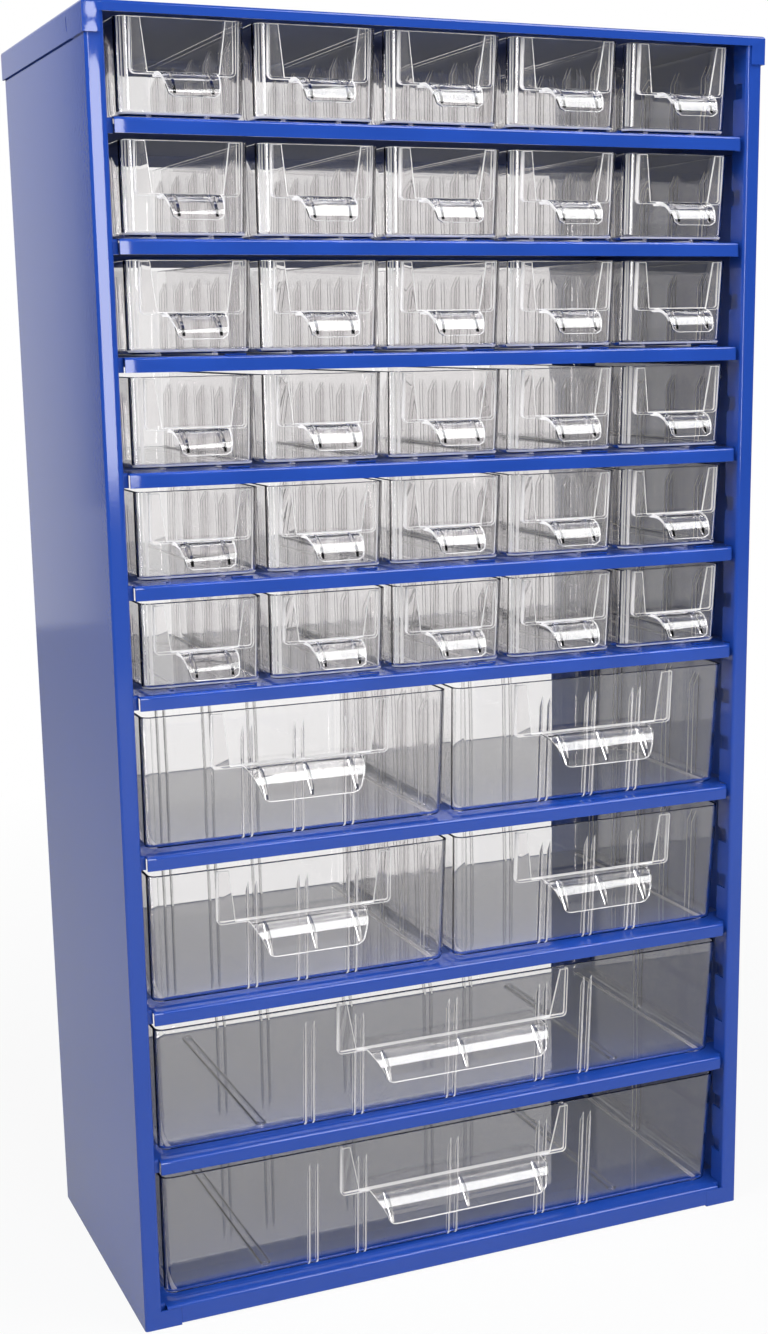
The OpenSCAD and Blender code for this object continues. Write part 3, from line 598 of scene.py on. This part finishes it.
def hood(width, taper, drop, tip_r, ledge, satin_and_painted_highlight):
    """A shell swept down from the front: flat, then a quarter turn to its rounded tip."""
    flat, tip = REACH - PULL_R, width / 2 - taper

    def half_at(depth):
        if depth <= drop - tip_r:
            return width / 2 - taper * depth / (drop - tip_r)
        return tip - tip_r + math.sqrt(max(tip_r ** 2 - (depth - drop + tip_r) ** 2, 0))

    def section(inset):
        r = PULL_R - inset
        down = [(WALL / 2, -inset), (-flat * 0.5, -inset)]
        whole = math.acos(max((PULL_R - drop) / r, 0)) if drop < PULL_R else math.pi / 2
        turn = [whole * i / TURN_STEPS for i in range(TURN_STEPS + 1)]
        down += [(-flat - r * math.sin(a), r * math.cos(a) - PULL_R) for a in turn]
        last = [drop - tip_r * (1 - math.sin(math.radians(a))) for a in TIP_ANGLES]
        down += [(-flat - r, -d) for d in last if drop > PULL_R and d > PULL_R + 0.05]
        return down

    upper, lower = section(0), section(PULL_T)
    while len(lower) < len(upper):
        lower.append(lower[-1])
    n = len(upper)
    points = []
    for line in (upper, lower):
        for y, z in line:
            half = half_at(-z)
            points += [(-half, y, z), (0, y, z), (half, y, z)]
    faces = []
    for k in range(n - 1):
        a, b = 3 * k, 3 * n + 3 * k
        faces += [(a, a + 1, a + 4, a + 3), (a + 1, a + 2, a + 5, a + 4)]
        faces += [(b + 1, b, b + 3, b + 4), (b + 2, b + 1, b + 4, b + 5)]
        faces += [(b, a, a + 3, b + 3), (a + 2, b + 2, b + 5, a + 5)]
    for a, b in ((0, 3 * n), (3 * n - 3, 6 * n - 3)):
        faces += [(a, b, b + 1, a + 1), (a + 1, b + 1, b + 2, a + 2)]
    piece = mesh_object("hood", points, faces)
    form = bmesh.new()
    form.from_mesh(piece.data)
    bmesh.ops.remove_doubles(form, verts=form.verts, dist=WELD)
    bmesh.ops.dissolve_degenerate(form, edges=form.edges, dist=WELD)
    bmesh.ops.recalc_face_normals(form, faces=form.faces)
    rims = [e for e in form.edges if e.calc_face_angle(0) > math.radians(50)]
    # On small drawers the hood's rims take the white edge material, a painted highlight.
    for face in form.faces:
        at_rim = all(e in rims or e.calc_face_angle(0) < 0.01 for e in face.edges)
        face.material_index = int(satin_and_painted_highlight and at_rim)
    bmesh.ops.bevel(form, geom=rims, offset=PULL_EASE, segments=2, profile=0.5, affect="EDGES",
                    clamp_overlap=True, material=1)
    form.to_mesh(piece.data)
    form.free()
    piece.data.transform(Matrix.Translation((0, 0, ledge - PULL_STEP)))
    return piece


def web(x, drop, ledge):
    """A thin web under the hood, from its tip up to its flat part."""
    r, cy, cz = PULL_R - PULL_T / 2, PULL_R - REACH, ledge - PULL_STEP - PULL_R
    low = PULL_R - drop + WEB_LIFT
    turn = [math.radians(a) for a in range(0, 91, 10)]
    points = [(cy - r * math.sin(a), cz + r * math.cos(a)) for a in turn]
    points = [(y, z) for y, z in points if z >= cz + low - MERGE]
    points += [(cy - (r if low < 0 else math.sqrt(r * r - low * low)), cz + low)]
    points += [(cy + PULL_T - PULL_R, cz + low), (cy, cz + PULL_R - PULL_T - SINK)]
    piece = slab(points, x - WEB_T / 2, x + WEB_T / 2, axis="x")
    for face in piece.data.polygons:
        face.material_index = 0
    return piece


# ---- Whole drawers ----
# The pieces above are one moulding, so they are fused into one clear body with no inner faces.
SKID_W, SKID_IN, SKID_CLEAR, SKID_EASE, RUN_GAP = 2.0, 5.0, 1.5, 0.2, 0.3
LANCE_AT, LANCE_W = 19.0, 9.0
LOOP_AT, LOOP_W, LOOP_H, LOOP_END = 90.5, 5.0, 1.2, 9.0
MOULDED_SHARP = math.radians(33)


def skid(x):
    """A runner under the floor, just above the shelf that it slides on."""
    y0, y1 = EDGE_R + CORNER_R, REAR - EDGE_R - CORNER_R
    half, top = SKID_W / 2, BASE_T / 2 + BASE_Z
    outline = [(-half, top), (-half, RUN_GAP + SKID_EASE), (-half + SKID_EASE, RUN_GAP),
               (half - SKID_EASE, RUN_GAP), (half, RUN_GAP + SKID_EASE), (half, top)]
    return slab([(x + a, b) for a, b in outline], y0, y1)


def floor_loop(x):
    """A raised oval on the floor of a large drawer that a long divider stands in."""
    y0, y1 = WALL + RIB_D + LOOP_END, REAR - WALL - RIB_D - LOOP_END
    z0, z1 = BASE_Z + BASE_T - SINK, BASE_Z + BASE_T + LOOP_H

    def oval(r):
        turn = [math.radians(a) for a in range(0, 181, 20)]
        return ([(x + r * math.cos(a), y1 + r * math.sin(a)) for a in turn]
                + [(x - r * math.cos(a), y0 - r * math.sin(a)) for a in turn])

    rings = [(LOOP_W / 2, z0), (LOOP_W / 2, z1 - 0.3), (LOOP_W / 2 - 0.3, z1),
             (LOOP_W / 2 - RIB_T + 0.1, z1), (LOOP_W / 2 - RIB_T, z0)]
    points = [(px, py, z) for r, z in rings for px, py in oval(r)]
    n = len(oval(1))
    faces = [(k * n + i, k * n + (i + 1) % n, (k + 1) % 5 * n + (i + 1) % n, (k + 1) % 5 * n + i)
             for k in range(5) for i in range(n)]
    return mesh_object("floor_loop", points, faces)


def fused(parts):
    """The first part united with all the others, smooth but for its real edges."""
    body = parts[0]
    for part in parts[1:]:
        join = body.modifiers.new("join", "BOOLEAN")
        join.operation, join.solver, join.object = "UNION", "MANIFOLD", part
    baked(body)
    for part in parts[1:]:
        bpy.data.objects.remove(part)
    form = bmesh.new()
    form.from_mesh(body.data)
    bmesh.ops.remove_doubles(form, verts=form.verts, dist=WELD)
    for face in form.faces:
        face.smooth = True
    for edge in form.edges:
        edge.smooth = edge.calc_face_angle(0) < MOULDED_SHARP
    form.to_mesh(body.data)
    form.free()
    even = body.modifiers.new("even", "WEIGHTED_NORMAL")
    even.keep_sharp = True
    return baked(body)


def drawer(width, rim, ledge, ends, sides, pitch, rib_gap, holder_size, pull_size, webs, skid_x,
           loops=(), painted_highlight_strips=()):
    """One moulded drawer in its own frame: the front at ledge height is at y = 0.
    ends and sides are (number, distance) of rib pairs. holder_size is width, wing at the top and
    wing at the foot, and pull_size is width, taper, drop and tip radius."""
    top = rim - rib_gap
    front = Matrix.Translation((0, 0, ledge)) @ Matrix.Rotation(LEAN, 4, "X")
    upright = Matrix.Translation((0, 0, rim)) @ Matrix.Rotation(DRAFT, 4, "X")
    front_rib, wall_rib = rib(ledge, LEAN, top), rib(rim, DRAFT, top)
    parts = [tub(width, rim, ledge, painted_highlight_strips)]
    for count, step in ends:
        turned = Matrix.Translation((0, REAR, 0)) @ Matrix.Rotation(math.pi, 4, "Z") @ upright
        parts.append(rib_row(front_rib, count, step, pitch, front))
        parts.append(rib_row(wall_rib, count, step, pitch, turned))
    for side in (-1, 1):
        turned = (Matrix.Translation((side * width / 2, REAR / 2, 0))
                  @ Matrix.Rotation(side * math.pi / 2, 4, "Z") @ upright)
        parts.append(rib_row(wall_rib, sides[0], sides[1], pitch, turned))
    parts += holder(*holder_size, rim, ledge)
    parts.append(hood(*pull_size, ledge, bool(painted_highlight_strips)))
    parts += [web(x, pull_size[2], ledge) for x in webs]
    parts += [skid(-skid_x), skid(skid_x)] + [floor_loop(x) for x in loops]
    body = fused(parts)
    bpy.data.objects.remove(front_rib)
    bpy.data.objects.remove(wall_rib)
    return body


def place_drawers(pattern, columns, width, rows, first_z, rise, kind):
    """Copies of one drawer in rows and columns, each on its own body in place of its node."""
    for r in range(rows):
        for c in range(columns):
            name = f"{kind}_drawer_{r + 1}" + (f"_{c + 1}" if columns > 1 else "")
            x = (c - (columns - 1) / 2) * (width + GAP)
            piece = bpy.data.objects.new(f"clear_{name}", pattern.data.copy())
            scene.collection.objects.link(piece)
            piece.data.transform(Matrix.Translation((x, LEDGE_Y, first_z + r * rise)))
            piece.data.transform(Matrix.Scale(MM, 4))
            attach(piece, name)
            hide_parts(name)
    bpy.data.objects.remove(pattern)


FLOOR_Z = 9.7
medium_skid, large_skid = (w / 2 - math.tan(DRAFT) * (DEEP_RIM - BASE_Z) - SKID_IN
                           for w in (MEDIUM_W, DEEP_ROW_W))
small_skid = LANCE_AT - LANCE_W / 2 - SKID_CLEAR - SKID_W / 2
large = drawer(
    DEEP_ROW_W, DEEP_RIM, ledge=35.2, ends=[(1, 0), (2, 92.6), (2, 140)], sides=(1, 0), pitch=3.9,
    rib_gap=7.0, holder_size=(115.5, 4.3, 9.0), pull_size=(89.0, 4.2, 12.6, 4.5),
    webs=(-37.9, 0, 37.9), skid_x=large_skid, loops=(-LOOP_AT, LOOP_AT))
place_drawers(large, 1, DEEP_ROW_W, 2, FLOOR_Z, 3 * UNIT, "large")
medium = drawer(
    MEDIUM_W, DEEP_RIM, ledge=35.0, ends=[(3, 23.4)], sides=(5, 24.5), pitch=3.9,
    rib_gap=7.0, holder_size=(80.6, 5.5, 8.3), pull_size=(54.0, 4.2, 13.8, 4.5),
    webs=(-20.4, 0, 20.4), skid_x=medium_skid)
place_drawers(medium, 2, MEDIUM_W, 2, FLOOR_Z + 6 * UNIT, 3 * UNIT, "medium")
# Small drawers carry the corner strips of painted highlight and white hood rims.
small = drawer(
    SMALL_W, SMALL_RIM, ledge=17.5, ends=[], sides=(5, 26.5), pitch=3.3,
    rib_gap=5.0, holder_size=(43.0, 4.4, 7.0), pull_size=(24.5, 1.7, 10.4, 2.5),
    webs=(-7.75, 7.75), skid_x=small_skid, painted_highlight_strips=PAINTED_HIGHLIGHT_STRIPS)
place_drawers(small, 5, SMALL_W, 6, FLOOR_Z + 12 * UNIT, 2 * UNIT, "small")

# Light passes through many clear walls one behind the other before it comes out.
CLEAR_WALLS, CLEAR_SHADOWS = 24, 32
scene.cycles.max_bounces = CLEAR_WALLS
scene.cycles.transmission_bounces = CLEAR_WALLS
scene.cycles.transparent_max_bounces = CLEAR_SHADOWS
